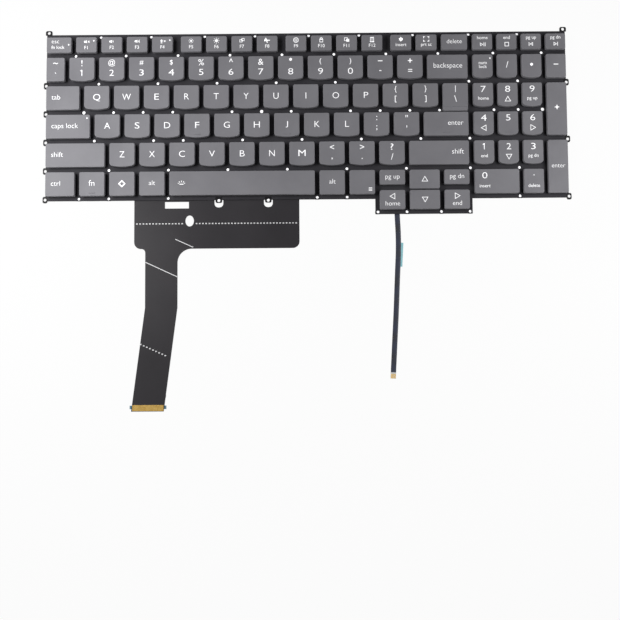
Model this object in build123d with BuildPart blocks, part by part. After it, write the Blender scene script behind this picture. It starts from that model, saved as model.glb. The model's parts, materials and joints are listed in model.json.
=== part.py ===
from build123d import *
import os
from math import asin, cos, radians, sin, tan
from typing import NamedTuple

# Low-profile laptop keyboard: scissor keys on a steel plate, a backlight behind it and two flat tails.
# Frame in millimetres: X to the right, Y towards the function row, Z up. The origin is the middle of
# the steel plate's outline, on the surface that the back lies on.

# Key lattice
PITCH_X = 19.05
PITCH_Y = 18.5
GAP_X = 2.9
GAP_Y = 3.08
KEY_ROWS = 5

# Widths of the keys that start each row, and of the last key of the Q row
GRAVE_W = 11.8
TAB_W = 21.4
CAPS_LOCK_W = 28.2
LEFT_SHIFT_W = 37.75
BACKSLASH_W = 16.1
BACKSLASH_LIP = 2.4
BACKSLASH_STEP = 0.35

# Function row
FUNCTION_D = 10.15
FUNCTION_GAP_Y = 3.12
ESC_W = 15.95
DELETE_W = 16.6
FUNCTION_GROUP_GAP = 2.2

# Arrow keys
SPACE_COLUMNS = 5
ARROW_W = 19.05
ARROW_D = 12.25
ARROW_GAP_Y = 0.7
PAGE_D = 9.55

# Number pad
PAD_OFFSET = 3.25
PAD_W = 12.75
PAD_GAP_X = 2.8

# Keycap
CAP_H = 1.9
CAP_TOP_T = 0.9
CAP_WALL = 1.1
CORNER = 0.55
LOWER_CORNER = 1.5
SMILE_RISE = 0.85

# Layers from the back upwards, and the key's stroke
FILM_T = 0.15
GUIDE_T = 0.3
PLATE_T = 0.4
MEMBRANE_T = 0.25
TRAVEL = 1.5
STROKE_CLEARANCE = 0.15

# Steel plate and the membrane on it
MEMBRANE_INSET = 0.1
SIDE_MARGIN = 1.25
TOP_MARGIN = 3.15
BOTTOM_MARGIN = 2.4
CLUSTER_MARGIN = 2.55
EAR_W = 4.2
EAR_REACH = 1.8
EAR_HOLE_R = 0.95
EAR_HOLE_OUT = 0.3
TOP_EAR_REACH = 2.8
TOP_EAR_HOLE_OUT = 1.35

# Layers behind the plate
FILM_INSET = 1.0
EAR_NOTCH_CLEARANCE = 0.4
BAND_D = 10.0
BAND_GAP = 0.4
BAND_EDGE = 1.8

# Rubber dome and scissor links
DOME_R = 2.6
DOME_TAPER = 24.0
LINK_L = 10.6
OUTER_LINK_W = 11.0
INNER_LINK_W = 8.2
LINK_BAR = 0.95
LINK_T = 0.5
LINK_CLEARANCE = 0.05

# Keyboard tail
TAIL_T = 0.2
FLAP_START = 56.8
FLAP_W = 105.5
FLAP_L = 31.0
FLAP_ROOT = 9.0
FLAP_CORNER_R = 4.3
RIBBON_START = 7.1
RIBBON_W = 20.6
RIBBON_STRAIGHT = 37.5
RIBBON_SLANT = 65.5
RIBBON_DRIFT = 8.5
RIBBON_NECK_R = 9.0
RIBBON_SHOULDER_R = 2.6
WINDOW_START = 19.6
WINDOW_W = 15.3
WINDOW_D = 4.2
WINDOW_DOWN = 0.9
FIRST_NOTCH = 54.1
NOTCH_SPACING = 31.6
NOTCH_W = 5.6
NOTCH_D = 4.6
TAIL_SLOT_START = 35.4
TAIL_SLOT_DOWN = 13.2
TAIL_SLOT_W = 5.4
TAIL_SLOT_D = 7.0
STIFFENER_D = 5.2
STIFFENER_EAR = 1.3
STIFFENER_EAR_D = 2.2
LINER_DOWN = 19.5
LINER_D = 6.3
LINER_START = 4.8
LINER_END = 0.3
PATCH_DOWN = 51.0
PATCH_D = 15.0
PATCH_SIDE = 0.4

# Backlight cable: the points of its route, from its slot in the back film to its end
CABLE_W = 3.4
CABLE_T = 0.15
CABLE_CLEARANCE = 0.1
CABLE_ROUTE = [
    (57.0, -38.0),
    (57.4, -60.0),
    (58.5, -82.0),
    (57.3, -104.0),
    (56.3, -126.0),
    (55.0, -147.0),
    (54.0, -164.5),
]
CONTACT_L = 4.0

# Levels
GUIDE_Z = FILM_T
PLATE_Z = GUIDE_Z + GUIDE_T
MEMBRANE_Z = PLATE_Z + PLATE_T
SWITCH_Z = MEMBRANE_Z + MEMBRANE_T
CAP_Z = SWITCH_Z + TRAVEL + STROKE_CLEARANCE
CEILING_Z = CAP_Z + CAP_H - CAP_TOP_T

# Sizes that follow from the lattice
CAP_W = PITCH_X - GAP_X
CAP_D = PITCH_Y - GAP_Y
BLOCK_W = TAB_W + GAP_X + 12 * PITCH_X + BACKSLASH_W
PAD_PITCH = PAD_W + PAD_GAP_X
PLATE_W = BLOCK_W + PAD_OFFSET + 3 * PAD_PITCH + PAD_W + 2 * SIDE_MARGIN
PLATE_D = TOP_MARGIN + FUNCTION_D + FUNCTION_GAP_Y + KEY_ROWS * PITCH_Y - GAP_Y + BOTTOM_MARGIN
PLATE_LEFT = -PLATE_W / 2
PLATE_TOP = PLATE_D / 2
PLATE_BOTTOM = -PLATE_D / 2
BLOCK_LEFT = PLATE_LEFT + SIDE_MARGIN
BLOCK_RIGHT = BLOCK_LEFT + BLOCK_W
PAD_LEFT = BLOCK_RIGHT + PAD_OFFSET
FUNCTION_TOP = PLATE_TOP - TOP_MARGIN
ROW_TOPS = [FUNCTION_TOP - FUNCTION_D - FUNCTION_GAP_Y - row * PITCH_Y for row in range(KEY_ROWS)]
FUNCTION_W = (BLOCK_W - ESC_W - DELETE_W - 3 * FUNCTION_GROUP_GAP - 15 * GAP_X) / 14
ARROW_LEFT = BLOCK_LEFT + LEFT_SHIFT_W + GAP_X + 9 * PITCH_X
CLUSTER_BOTTOM = ROW_TOPS[4] - 2 * ARROW_D - ARROW_GAP_Y - BOTTOM_MARGIN
CLUSTER_LEFT = ARROW_LEFT - CLUSTER_MARGIN
CLUSTER_RIGHT = BLOCK_RIGHT + CLUSTER_MARGIN


class Key(NamedTuple):
    """One key: its outline on the plate, and whether its front edge is curved."""

    name: str
    left: float
    top: float
    width: float
    depth: float
    curved: bool = False

    @property
    def right(self):
        return self.left + self.width

    @property
    def bottom(self):
        return self.top - self.depth

    @property
    def centre(self):
        return (self.left + self.width / 2, self.top - self.depth / 2)


def key_row(row, first_name, first_width, names, last_name):
    """A row of the main block: a first key, standard keys at the pitch, and a last key that fills the row."""
    top = ROW_TOPS[row]
    left = BLOCK_LEFT + first_width + GAP_X
    keys = [Key(first_name, BLOCK_LEFT, top, first_width, CAP_D)]
    for name in names:
        keys.append(Key(name, left, top, CAP_W, CAP_D, True))
        left += PITCH_X
    keys.append(Key(last_name, left, top, BLOCK_RIGHT - left, CAP_D))
    return keys


def pad_key(name, column, row, columns=1, rows=1, curved=False):
    """A key of the number pad, over one or two columns or rows."""
    width = PAD_W + (columns - 1) * PAD_PITCH
    depth = CAP_D + (rows - 1) * PITCH_Y
    return Key(name, PAD_LEFT + column * PAD_PITCH, ROW_TOPS[row], width, depth, curved)


def function_row():
    """Escape, fourteen equal keys in groups of four, delete, and the four keys over the number pad."""
    keys = [Key("esc", BLOCK_LEFT, FUNCTION_TOP, ESC_W, FUNCTION_D)]
    left = keys[0].right + GAP_X
    for number in range(1, 15):
        keys.append(Key(f"function_{number}", left, FUNCTION_TOP, FUNCTION_W, FUNCTION_D))
        left += FUNCTION_W + GAP_X
        if number % 4 == 0:
            left += FUNCTION_GROUP_GAP
    keys.append(Key("delete", left, FUNCTION_TOP, BLOCK_RIGHT - left, FUNCTION_D))
    for column in range(4):
        left = PAD_LEFT + column * PAD_PITCH
        keys.append(Key(f"over_pad_{column + 1}", left, FUNCTION_TOP, PAD_W, FUNCTION_D))
    return keys


def modifier_keys():
    """The bottom row without the space bar, and the arrow cluster."""
    top = ROW_TOPS[4]
    first = BLOCK_LEFT + LEFT_SHIFT_W + GAP_X - PITCH_X
    after_space = first + (3 + SPACE_COLUMNS) * PITCH_X
    keys = [Key("left_ctrl", BLOCK_LEFT, top, first - GAP_X - BLOCK_LEFT, CAP_D)]
    for column, name in enumerate(["fn", "system", "left_alt"]):
        keys.append(Key(name, first + column * PITCH_X, top, CAP_W, CAP_D))
    for column, name in enumerate(["right_alt", "menu"]):
        keys.append(Key(name, after_space + column * PITCH_X, top, CAP_W, CAP_D))
    middle = ARROW_LEFT + PITCH_X
    right = middle + ARROW_W + GAP_X
    lower = top - ARROW_D - ARROW_GAP_Y
    keys.append(Key("page_up", ARROW_LEFT, top, CAP_W, PAGE_D))
    keys.append(Key("arrow_left", ARROW_LEFT, lower, CAP_W, ARROW_D))
    keys.append(Key("arrow_up", middle, top, ARROW_W, ARROW_D))
    keys.append(Key("arrow_down", middle, lower, ARROW_W, ARROW_D))
    keys.append(Key("page_down", right, top, BLOCK_RIGHT - right, PAGE_D))
    keys.append(Key("arrow_right", right, lower, BLOCK_RIGHT - right, ARROW_D))
    return keys


digits = [f"digit_{n}" for n in "1234567890"]
number_row = key_row(0, "grave", GRAVE_W, digits + ["minus", "equals"], "backspace")
q_row = key_row(1, "tab", TAB_W, list("qwertyuiop") + ["left_bracket", "right_bracket"], "backslash")
a_row = key_row(2, "caps_lock", CAPS_LOCK_W, list("asdfghjkl") + ["semicolon", "quote"], "enter")
z_row = key_row(3, "left_shift", LEFT_SHIFT_W, list("zxcvbnm") + ["comma", "period", "slash"], "right_shift")
q_row[-1] = q_row[-1]._replace(depth=CAP_D + BACKSLASH_LIP)
space_left = BLOCK_LEFT + LEFT_SHIFT_W + GAP_X + 2 * PITCH_X
space_bar = Key("space", space_left, ROW_TOPS[4], SPACE_COLUMNS * PITCH_X - GAP_X, CAP_D)
number_pad = [pad_key(f"pad_{n}", n % 3, n // 3, curved=True) for n in range(12)]
number_pad.append(pad_key("pad_minus", 3, 0))
number_pad.append(pad_key("pad_plus", 3, 1, rows=2))
number_pad.append(pad_key("pad_enter", 3, 3, rows=2))
number_pad.append(pad_key("pad_zero", 0, 4, columns=2))
number_pad.append(pad_key("pad_point", 2, 4))

left_ctrl, *other_modifiers = modifier_keys()
*digit_keys, backspace = number_row

moving_keys = [backspace] + q_row + a_row + z_row + [left_ctrl, space_bar]
fixed_rows = {
    "function_row_keys": function_row(),
    "number_row_keys": digit_keys,
    "number_pad_keys": number_pad,
    "modifier_keys": other_modifiers,
}
all_keys = moving_keys + [key for keys in fixed_rows.values() for key in keys]


def cap_outline(key):
    """The keycap seen from above, added as a face to the sketch in progress."""
    lower = LOWER_CORNER if key.curved else CORNER
    front = key.bottom + (SMILE_RISE if key.curved else 0)
    with BuildLine() as outline:
        Polyline(
            (key.left + lower, front),
            (key.left, front + lower),
            (key.left, key.top - CORNER),
            (key.left + CORNER, key.top),
            (key.right - CORNER, key.top),
            (key.right, key.top - CORNER),
            (key.right, front + lower),
            (key.right - lower, front),
        )
        if key.curved:
            middle = (key.left + key.width / 2, key.bottom)
            ThreePointArc((key.right - lower, front), middle, (key.left + lower, front))
        else:
            Line((key.right - lower, front), (key.left + lower, front))
    make_face(outline.edges())


def cap_pocket(key):
    """The hollow under the keycap, added as a face to the sketch in progress."""
    front = key.bottom + CAP_WALL + (SMILE_RISE if key.curved else 0)
    depth = key.top - CAP_WALL - front
    with Locations((key.centre[0], front + depth / 2)):
        Rectangle(key.width - 2 * CAP_WALL, depth)


def keycaps(keys):
    """Hollow keycaps at rest, in the part in progress."""
    with BuildSketch(Plane.XY.offset(CAP_Z)) as outlines:
        for key in keys:
            cap_outline(key)
    extrude(outlines.sketch, amount=CAP_H)
    with BuildSketch(Plane.XY.offset(CAP_Z)) as pockets:
        for key in keys:
            cap_pocket(key)
    extrude(pockets.sketch, amount=CAP_H - CAP_TOP_T, mode=Mode.SUBTRACT)


def ear_places():
    """The hole centres of the ears on the plate's sides, back edge and front edge."""
    gap_lines = [top - CAP_D - GAP_Y / 2 for top in ROW_TOPS]
    hole_x = PLATE_W / 2 + EAR_HOLE_OUT
    left = [(-hole_x, y) for y in gap_lines]
    right = [(hole_x, y) for y in gap_lines[::2]]
    top_x = PLATE_W / 2 - EAR_HOLE_R - EAR_HOLE_OUT
    top = [(x, PLATE_TOP + TOP_EAR_HOLE_OUT) for x in (-top_x, top_x)]
    first = PLATE_LEFT + FLAP_START + FIRST_NOTCH
    bottom = [(first + n * NOTCH_SPACING, PLATE_BOTTOM - EAR_HOLE_OUT) for n in range(2)]
    return left + right, top, bottom


side_ears, top_ears, bottom_ears = ear_places()
tail_notches = [x for x, y in bottom_ears]


def plate_outline(inset=0.0):
    """The plate's rectangle with the arrow cluster's tab, in the sketch in progress."""
    Rectangle(PLATE_W - 2 * inset, PLATE_D - 2 * inset)
    middle = (CLUSTER_LEFT + CLUSTER_RIGHT) / 2
    with Locations((middle, CLUSTER_BOTTOM / 2 + inset / 2)):
        Rectangle(CLUSTER_RIGHT - CLUSTER_LEFT - 2 * inset, -CLUSTER_BOTTOM - inset)


def ear_tabs():
    """The rectangles of the ears, each reaching back into the plate, in the sketch in progress."""
    with Locations(*side_ears):
        Rectangle(2 * (EAR_REACH - EAR_HOLE_OUT), EAR_W)
    with Locations(*top_ears):
        Rectangle(EAR_W, 2 * (TOP_EAR_REACH - TOP_EAR_HOLE_OUT))
    with Locations(*bottom_ears):
        Rectangle(EAR_W, 2 * (EAR_REACH - EAR_HOLE_OUT))


# Steel plate with its screw ears
with BuildPart() as base_plate:
    with BuildSketch(Plane.XY.offset(PLATE_Z)):
        plate_outline()
        ear_tabs()
        with Locations(*side_ears, *top_ears, *bottom_ears):
            Circle(EAR_HOLE_R, mode=Mode.SUBTRACT)
    extrude(amount=PLATE_T)

# Contact membrane on top of the plate, cut back round the ears
with BuildPart() as membrane:
    with BuildSketch(Plane.XY.offset(MEMBRANE_Z)):
        plate_outline(MEMBRANE_INSET)
        with Locations(*side_ears, *top_ears, *bottom_ears):
            Rectangle(EAR_W, EAR_W, mode=Mode.SUBTRACT)
    extrude(amount=MEMBRANE_T)

# One rubber dome under the middle of each key
with BuildPart() as rubber_domes:
    with BuildSketch(Plane.XY.offset(SWITCH_Z)):
        with Locations(*[key.centre for key in all_keys]):
            RegularPolygon(DOME_R, 6)
    extrude(amount=CEILING_Z - SWITCH_Z, taper=DOME_TAPER)


def link_plane(turn):
    """The plane of a link at rest: level across the key, and tilted from plate to keycap along it."""
    rise = CEILING_Z - SWITCH_Z - LINK_T - 2 * LINK_CLEARANCE
    tilt = turn * asin(rise / LINK_L)
    return Plane(
        origin=(0, 0, (SWITCH_Z + CEILING_Z) / 2),
        x_dir=(1, 0, 0),
        z_dir=(0, -sin(tilt), cos(tilt)),
    )


def link_frame(width, turn):
    """One link of a scissor, a rectangular frame, in the part in progress."""
    with BuildSketch(link_plane(turn)) as frame:
        Rectangle(width, LINK_L)
        Rectangle(width - 2 * LINK_BAR, LINK_L - 2 * LINK_BAR, mode=Mode.SUBTRACT)
    extrude(frame.sketch, amount=LINK_T / 2, both=True)


scissor_centres = [key.centre for key in moving_keys]

with BuildPart() as outer_link:
    link_frame(OUTER_LINK_W, 1)

with BuildPart() as inner_link:
    link_frame(INNER_LINK_W, -1)

with BuildPart() as scissor_outer_links:
    with Locations(*scissor_centres):
        add(outer_link.part)

with BuildPart() as scissor_inner_links:
    with Locations(*scissor_centres):
        add(inner_link.part)

# The cable's middle line, with each bend as wide as its runs allow
cable_points = [Vector(x, y) for x, y in CABLE_ROUTE]
cable_radii = []
for before, corner, after in zip(cable_points, cable_points[1:], cable_points[2:]):
    turn = (corner - before).get_angle(after - corner)
    run = min((corner - before).length, (after - corner).length)
    cable_radii.append(0.45 * run / tan(radians(turn / 2)))
print("cable radii", [round(radius) for radius in cable_radii])


def cable_face(width):
    """The flat cable seen from above, as wide as asked, in the sketch in progress."""
    with BuildLine() as route:
        FilletPolyline(*CABLE_ROUTE, radius=cable_radii)
    trace(route.line, line_width=width)


band_top = PLATE_BOTTOM + BAND_EDGE + BAND_D
film_bottom = band_top + BAND_GAP

# Light guide behind the plate, above the tail's root
with BuildPart() as light_guide:
    with BuildSketch(Plane.XY.offset(GUIDE_Z)):
        with Locations((0, (PLATE_TOP - FILM_INSET + film_bottom) / 2)):
            Rectangle(PLATE_W - 2 * FILM_INSET, PLATE_TOP - FILM_INSET - film_bottom)
        with Locations(*side_ears, *top_ears):
            Rectangle(EAR_W, EAR_W, mode=Mode.SUBTRACT)
    extrude(amount=GUIDE_T)

# Back film, notched round the ears and slit for the cable
with BuildPart() as back_film:
    with BuildSketch():
        with Locations((0, (PLATE_TOP - FILM_INSET + film_bottom) / 2)):
            Rectangle(PLATE_W - 2 * FILM_INSET, PLATE_TOP - FILM_INSET - film_bottom)
        with Locations(*side_ears, *top_ears):
            Rectangle(EAR_W + EAR_NOTCH_CLEARANCE, EAR_W + EAR_NOTCH_CLEARANCE, mode=Mode.SUBTRACT)
    extrude(amount=FILM_T)
    with BuildSketch():
        cable_face(CABLE_W + 2 * CABLE_CLEARANCE)
    extrude(amount=FILM_T, mode=Mode.SUBTRACT)

# Cover band over the tail's root, along the front edge and the arrow cluster
with BuildPart() as tail_cover_band:
    with BuildSketch():
        plate_outline(BAND_EDGE)
        with Locations((0, band_top + PLATE_D)):
            Rectangle(2 * PLATE_W, 2 * PLATE_D, mode=Mode.SUBTRACT)
        with Locations(*side_ears, *bottom_ears):
            Rectangle(EAR_W + EAR_NOTCH_CLEARANCE, EAR_W + EAR_NOTCH_CLEARANCE, mode=Mode.SUBTRACT)
    extrude(amount=FILM_T)
    with BuildSketch():
        cable_face(CABLE_W + 2 * CABLE_CLEARANCE)
    extrude(amount=FILM_T, mode=Mode.SUBTRACT)

flap_left = PLATE_LEFT + FLAP_START
flap_right = flap_left + FLAP_W
flap_bottom = PLATE_BOTTOM - FLAP_L
ribbon_left = flap_left + RIBBON_START
ribbon_bend = flap_bottom - RIBBON_STRAIGHT
ribbon_end = ribbon_bend - RIBBON_SLANT

# Keyboard tail: a wide flap from under the plate, and a ribbon that runs off to one side
with BuildPart() as keyboard_tail:
    with BuildSketch(Plane.XY.offset(FILM_T)) as tail_face:
        with Locations((flap_left + FLAP_W / 2, (PLATE_BOTTOM + FLAP_ROOT + flap_bottom) / 2)):
            Rectangle(FLAP_W, FLAP_L + FLAP_ROOT)
        fillet(tail_face.vertices().group_by(Axis.Y)[0], FLAP_CORNER_R)
        with BuildLine():
            Polyline(
                (ribbon_left, flap_bottom + RIBBON_NECK_R),
                (ribbon_left, ribbon_bend),
                (ribbon_left - RIBBON_DRIFT, ribbon_end),
                (ribbon_left - RIBBON_DRIFT + RIBBON_W, ribbon_end),
                (ribbon_left + RIBBON_W, ribbon_bend),
                (ribbon_left + RIBBON_W, flap_bottom + RIBBON_NECK_R),
                close=True,
            )
        make_face()
        necks = tail_face.vertices().filter_by_position(Axis.Y, flap_bottom - 0.01, flap_bottom + 0.01)
        necks = necks.filter_by_position(Axis.X, ribbon_left - 0.01, ribbon_left + RIBBON_W + 0.01)
        shoulder, neck = necks.sort_by(Axis.X)
        fillet(neck, RIBBON_NECK_R)
        fillet(shoulder, RIBBON_SHOULDER_R)
        with Locations((flap_left + WINDOW_START + WINDOW_W / 2, PLATE_BOTTOM - WINDOW_DOWN - WINDOW_D / 2)):
            Rectangle(WINDOW_W, WINDOW_D, mode=Mode.SUBTRACT)
        with Locations(*[(x, PLATE_BOTTOM + (EAR_W - NOTCH_D) / 2) for x in tail_notches]):
            Rectangle(NOTCH_W, NOTCH_D + EAR_W, mode=Mode.SUBTRACT)
        with Locations((flap_left + TAIL_SLOT_START, PLATE_BOTTOM - TAIL_SLOT_DOWN)):
            Ellipse(TAIL_SLOT_W / 2, TAIL_SLOT_D / 2, mode=Mode.SUBTRACT)
    extrude(amount=TAIL_T)

end_middle = ribbon_left - RIBBON_DRIFT + RIBBON_W / 2
stiffener_drift = STIFFENER_D * RIBBON_DRIFT / RIBBON_SLANT

# Stiffener behind the ribbon's contacts, with a small ear on each side
with BuildPart() as tail_stiffener:
    with BuildSketch():
        with BuildLine():
            Polyline(
                (end_middle - RIBBON_W / 2, ribbon_end),
                (end_middle + RIBBON_W / 2, ribbon_end),
                (end_middle + RIBBON_W / 2 + stiffener_drift, ribbon_end + STIFFENER_D),
                (end_middle - RIBBON_W / 2 + stiffener_drift, ribbon_end + STIFFENER_D),
                close=True,
            )
        make_face()
        with Locations((end_middle + stiffener_drift / 2, ribbon_end + STIFFENER_D / 2)):
            Rectangle(RIBBON_W + 2 * STIFFENER_EAR, STIFFENER_EAR_D)
    extrude(amount=FILM_T)

# Adhesive liner strips behind the flap and the ribbon
with BuildPart() as flap_liner:
    with BuildSketch():
        with Locations((flap_left + (FLAP_W + LINER_START - LINER_END) / 2, PLATE_BOTTOM - LINER_DOWN - LINER_D / 2)):
            Rectangle(FLAP_W - LINER_START - LINER_END, LINER_D)
    extrude(amount=FILM_T)

with BuildPart() as ribbon_liner:
    with BuildSketch():
        with Locations((ribbon_left + RIBBON_W / 2, PLATE_BOTTOM - PATCH_DOWN - PATCH_D / 2)):
            Rectangle(RIBBON_W - 2 * PATCH_SIDE, PATCH_D)
    extrude(amount=FILM_T)

# Backlight cable, flush in its slit and then free, and its contact end
with BuildPart() as backlight_cable:
    with BuildSketch():
        cable_face(CABLE_W)
    extrude(amount=CABLE_T)

cable_end = cable_points[-1]
end_direction = (cable_end - cable_points[-2]).normalized()
with BuildPart() as backlight_contact:
    with BuildSketch(Plane(origin=cable_end, x_dir=end_direction, z_dir=(0, 0, 1))):
        with Locations((CONTACT_L / 2, 0)):
            Rectangle(CONTACT_L, CABLE_W)
    extrude(amount=CABLE_T)

os.makedirs("parts", exist_ok=True)

pieces = {
    "base_plate": base_plate,
    "membrane": membrane,
    "rubber_domes": rubber_domes,
    "scissor_outer_links": scissor_outer_links,
    "scissor_inner_links": scissor_inner_links,
    "light_guide": light_guide,
    "back_film": back_film,
    "tail_cover_band": tail_cover_band,
    "keyboard_tail": keyboard_tail,
    "tail_stiffener": tail_stiffener,
    "flap_liner": flap_liner,
    "ribbon_liner": ribbon_liner,
    "backlight_cable": backlight_cable,
    "backlight_contact": backlight_contact,
}
for name, piece in pieces.items():
    piece.part.label = name
    export_step(piece.part, f"parts/{name}.step")

# Keys that stay at rest, one group for each stretch of the board
for name, keys in fixed_rows.items():
    with BuildPart() as key_group:
        keycaps(keys)
    key_group.part.label = name
    export_step(key_group.part, f"parts/{name}.step")

# Keys that travel, each a piece of its own
for key in moving_keys:
    with BuildPart() as keycap:
        keycaps([key])
        if key.name == "backslash":
            with BuildSketch(Plane.XY.offset(CAP_Z + CAP_H - BACKSLASH_STEP)):
                with Locations((key.centre[0], key.bottom + BACKSLASH_LIP / 2)):
                    Rectangle(key.width, BACKSLASH_LIP)
            extrude(amount=BACKSLASH_STEP, mode=Mode.SUBTRACT)
    keycap.part.label = f"key_{key.name}"
    export_step(keycap.part, f"parts/key_{key.name}.step")
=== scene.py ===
# %% [markdown]
# Laptop replacement keyboard
# A low keyboard that is sold as a spare part: scissor keys on a thin steel plate, a backlight behind the plate,
# a wide film tail for the keys and a narrow flat cable for the light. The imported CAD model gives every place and
# size, so this lesson only adds looks: soft edges, legends, pin holes, films, prints and finishes.

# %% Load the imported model
import json
from math import pi, radians

import bmesh
import bpy
from mathutils import Matrix, Vector

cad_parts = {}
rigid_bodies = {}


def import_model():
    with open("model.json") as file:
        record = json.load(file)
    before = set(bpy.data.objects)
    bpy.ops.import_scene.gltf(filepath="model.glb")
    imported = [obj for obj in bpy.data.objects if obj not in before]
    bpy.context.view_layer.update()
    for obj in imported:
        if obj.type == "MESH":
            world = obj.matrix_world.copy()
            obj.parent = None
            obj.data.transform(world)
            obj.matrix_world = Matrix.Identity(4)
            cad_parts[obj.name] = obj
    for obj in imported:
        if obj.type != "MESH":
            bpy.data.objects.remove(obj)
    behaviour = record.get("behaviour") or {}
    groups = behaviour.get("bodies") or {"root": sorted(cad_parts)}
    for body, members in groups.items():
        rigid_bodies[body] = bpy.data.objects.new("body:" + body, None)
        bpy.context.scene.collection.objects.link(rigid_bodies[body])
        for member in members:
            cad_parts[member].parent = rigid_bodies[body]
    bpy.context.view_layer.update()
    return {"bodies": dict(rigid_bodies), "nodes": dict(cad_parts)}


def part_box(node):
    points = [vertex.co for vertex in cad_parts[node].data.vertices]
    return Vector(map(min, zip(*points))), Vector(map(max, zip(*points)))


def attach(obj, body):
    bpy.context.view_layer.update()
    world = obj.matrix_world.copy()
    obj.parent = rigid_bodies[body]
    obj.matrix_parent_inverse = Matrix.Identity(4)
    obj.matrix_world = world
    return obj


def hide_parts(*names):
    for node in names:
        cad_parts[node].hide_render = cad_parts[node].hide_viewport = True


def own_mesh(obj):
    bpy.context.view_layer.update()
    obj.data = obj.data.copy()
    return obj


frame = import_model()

MM = 0.001
scene = bpy.context.scene

# %% [markdown]
# The camera stands almost straight above the space bar, about 40 cm up, with a wide lens. These numbers come from
# fitting the corners of the keys to the photograph, so the render lies over it without any shift of the lens.

# %% Camera
camera = bpy.data.objects.new("camera", bpy.data.cameras.new("camera"))
camera.data.sensor_width = 36.0
camera.data.lens = 36.37
camera.location = (2.65 * MM, -141.88 * MM, 397.22 * MM)
camera.rotation_euler = (radians(2.471), radians(0.173), radians(-0.393))
scene.collection.objects.link(camera)
scene.camera = camera
print("camera height", round(camera.location.z, 3))

# %% [markdown]
# The light is two soft boxes above the left end, one of them a little behind the keyboard, and a weak one above the
# number pad. They make the left keys brighter than the right ones and drop short shadows to the right of each key
# and in front of it.

# %% Light and view settings
scene.view_settings.view_transform = "Standard"


def soft_box(name, place, aim, size, watts):
    """A square area lamp that faces a point."""
    lamp = bpy.data.objects.new(name, bpy.data.lights.new(name, "AREA"))
    lamp.data.size = size
    lamp.data.energy = watts
    lamp.location = place
    lamp.rotation_euler = (Vector(aim) - Vector(place)).to_track_quat("-Z", "Y").to_euler()
    scene.collection.objects.link(lamp)


soft_box("left_rear_box", (-0.30, 0.12, 0.26), (-0.02, -0.02, 0.0), 0.20, 0.38)
soft_box("left_upper_box", (-0.26, -0.05, 0.24), (-0.14, -0.05, 0.0), 0.16, 0.66)
soft_box("right_box", (0.26, -0.08, 0.20), (0.16, -0.06, 0.0), 0.15, 0.37)

# %% [markdown]
# The surround and the floor are white for the camera and for reflections, but the floor still takes part of its
# brightness from the lamps, so the keyboard keeps its shadow on it.

# %% Surround and floor
LIT_SHARE = 0.05
FLOOR_HALF, FLOOR_Z = 3.0, -0.00012


def new_node(nodes, kind, **inputs):
    """A new shader node. In the names of its inputs an underscore stands for a space."""
    node = nodes.new(f"ShaderNode{kind}")
    for name, value in inputs.items():
        node.inputs[name.replace("_", " ")].default_value = value
    return node


def seen_directly(nodes, links):
    """A socket that is 1 for camera, glossy and transmission rays."""
    path = nodes.new("ShaderNodeLightPath")
    value = path.outputs["Is Camera Ray"]
    for ray in ("Is Glossy Ray", "Is Transmission Ray"):
        either = nodes.new("ShaderNodeMath")
        either.operation = "MAXIMUM"
        links.new(value, either.inputs[0])
        links.new(path.outputs[ray], either.inputs[1])
        value = either.outputs[0]
    return value


world = bpy.data.worlds.new("pale_surround")
scene.world = world
world.use_nodes = True
nodes, links = world.node_tree.nodes, world.node_tree.links
strength = new_node(nodes, "MapRange", To_Min=0.03, To_Max=1.0)
links.new(seen_directly(nodes, links), strength.inputs["Value"])
links.new(strength.outputs["Result"], nodes["Background"].inputs["Strength"])
nodes["Background"].inputs["Color"].default_value = (1, 1, 1, 1)

floor_finish = bpy.data.materials.new("white_floor")
floor_finish.use_nodes = True
nodes, links = floor_finish.node_tree.nodes, floor_finish.node_tree.links
nodes["Principled BSDF"].inputs["Base Color"].default_value = (0.9, 0.9, 0.9, 1)
nodes["Principled BSDF"].inputs["Roughness"].default_value = 0.9
glow = nodes.new("ShaderNodeEmission")
share = nodes.new("ShaderNodeMath")
share.operation = "MULTIPLY"
share.inputs[1].default_value = 1 - LIT_SHARE
links.new(seen_directly(nodes, links), share.inputs[0])
blend = nodes.new("ShaderNodeMixShader")
links.new(share.outputs[0], blend.inputs[0])
links.new(nodes["Principled BSDF"].outputs[0], blend.inputs[1])
links.new(glow.outputs[0], blend.inputs[2])
links.new(blend.outputs[0], nodes["Material Output"].inputs["Surface"])

floor_bm = bmesh.new()
bmesh.ops.create_grid(floor_bm, x_segments=1, y_segments=1, size=FLOOR_HALF,
                      matrix=Matrix.Translation((0, 0, FLOOR_Z)))
floor_mesh = bpy.data.meshes.new("floor")
floor_bm.to_mesh(floor_mesh)
floor_bm.free()
floor_mesh.materials.append(floor_finish)
floor = bpy.data.objects.new("floor", floor_mesh)
scene.collection.objects.link(floor)
print("floor and surround ready")

# %% [markdown]
# Every finish starts from the same idea: a colour that drifts a little, as moulded plastic or printed film does,
# and a fine grain that drives both the roughness and a small bump. Object coordinates keep the grain at its real
# scale, because each object sits at the origin with its size in its mesh.

# %% Finishes
ROUGH_SPREAD = 0.06
GRAIN_DEPTH = 0.00005


def ink_colour(red, green, blue):
    """A colour as a picture shows it, 0 to 255, as the linear values that a shader takes."""
    shown = [channel / 255 for channel in (red, green, blue)]
    return tuple(c / 12.92 if c <= 0.04045 else ((c + 0.055) / 1.055) ** 2.4 for c in shown) + (1.0,)


def noise(nodes, links, scale, detail=2.0):
    """Noise over the object's own coordinates, in metres."""
    place = nodes.new("ShaderNodeTexCoord")
    cloud = new_node(nodes, "TexNoise", Scale=scale, Detail=detail)
    links.new(place.outputs["Object"], cloud.inputs["Vector"])
    return cloud.outputs["Fac"]


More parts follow.
